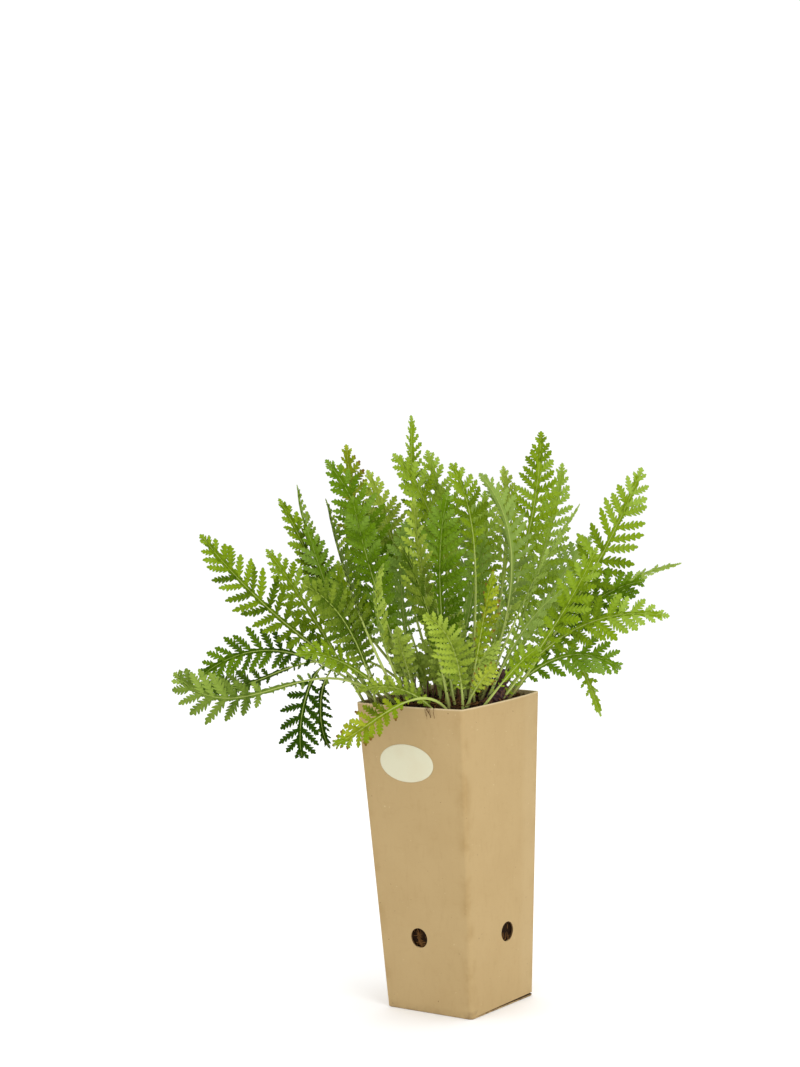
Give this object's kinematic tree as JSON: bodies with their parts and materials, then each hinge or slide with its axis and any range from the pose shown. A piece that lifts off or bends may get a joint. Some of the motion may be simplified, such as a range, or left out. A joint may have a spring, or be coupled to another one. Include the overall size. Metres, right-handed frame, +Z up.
{
  "type": "potted fernleaf yarrow",
  "caption": "Clump of feathery toothed leaves standing in compost in a tall tapered square card pot with drain holes and a blank oval label.",
  "frame": {"origin": "middle of the pot's square base, on the surface it stands on", "axes": "+Z up the pot; the labelled side faces -Y and the side with the inner glue lap faces +X"},
  "size_m": [0.3034, 0.2691, 0.406],
  "materials": {
    "card": "matt kraft card, fine fibres",
    "label": "matt cream paper",
    "soil": "moist dark compost",
    "rootstock": "dark purple-brown woody skin",
    "leaf": "matt mid-green leaf",
    "young_leaf": "soft light-green leaf",
    "deep_leaf": "matt deep-green leaf",
    "pale_leaf": "downy grey-green leaf underside",
    "yellow_leaf": "yellowing leaf with brown tips"
  },
  "bodies": {
    "root": {"card_pot": "card", "label": "label", "compost": "soil", "rootstock": "rootstock", "frond_01": "leaf", "frond_02": "leaf", "frond_03": "leaf", "frond_04": "leaf", "frond_05": "pale_leaf", "frond_06": "deep_leaf", "frond_07": "leaf", "frond_08": "leaf", "frond_09": "deep_leaf", "frond_10": "deep_leaf", "frond_11": "deep_leaf", "frond_12": "young_leaf", "frond_13": "yellow_leaf", "frond_14": "deep_leaf", "frond_15": "leaf", "frond_16": "leaf", "frond_17": "deep_leaf", "frond_18": "pale_leaf", "frond_19": "young_leaf", "frond_20": "young_leaf", "frond_21": "yellow_leaf", "frond_22": "young_leaf", "frond_23": "leaf", "frond_24": "leaf", "frond_25": "deep_leaf", "frond_26": "leaf", "frond_27": "leaf", "frond_28": "pale_leaf", "frond_29": "young_leaf", "frond_30": "leaf", "frond_31": "young_leaf", "frond_32": "young_leaf", "frond_33": "young_leaf", "frond_34": "leaf", "frond_35": "pale_leaf", "frond_36": "yellow_leaf", "frond_37": "pale_leaf", "frond_38": "leaf", "frond_39": "deep_leaf", "frond_40": "pale_leaf", "frond_41": "leaf", "frond_42": "young_leaf", "frond_43": "yellow_leaf", "frond_44": "leaf", "frond_45": "deep_leaf", "frond_46": "leaf", "frond_47": "deep_leaf", "frond_48": "leaf", "frond_49": "leaf", "frond_50": "leaf", "frond_51": "deep_leaf", "frond_52": "deep_leaf", "frond_53": "deep_leaf", "frond_54": "leaf", "frond_55": "leaf"}
  },
  "joints": []
}
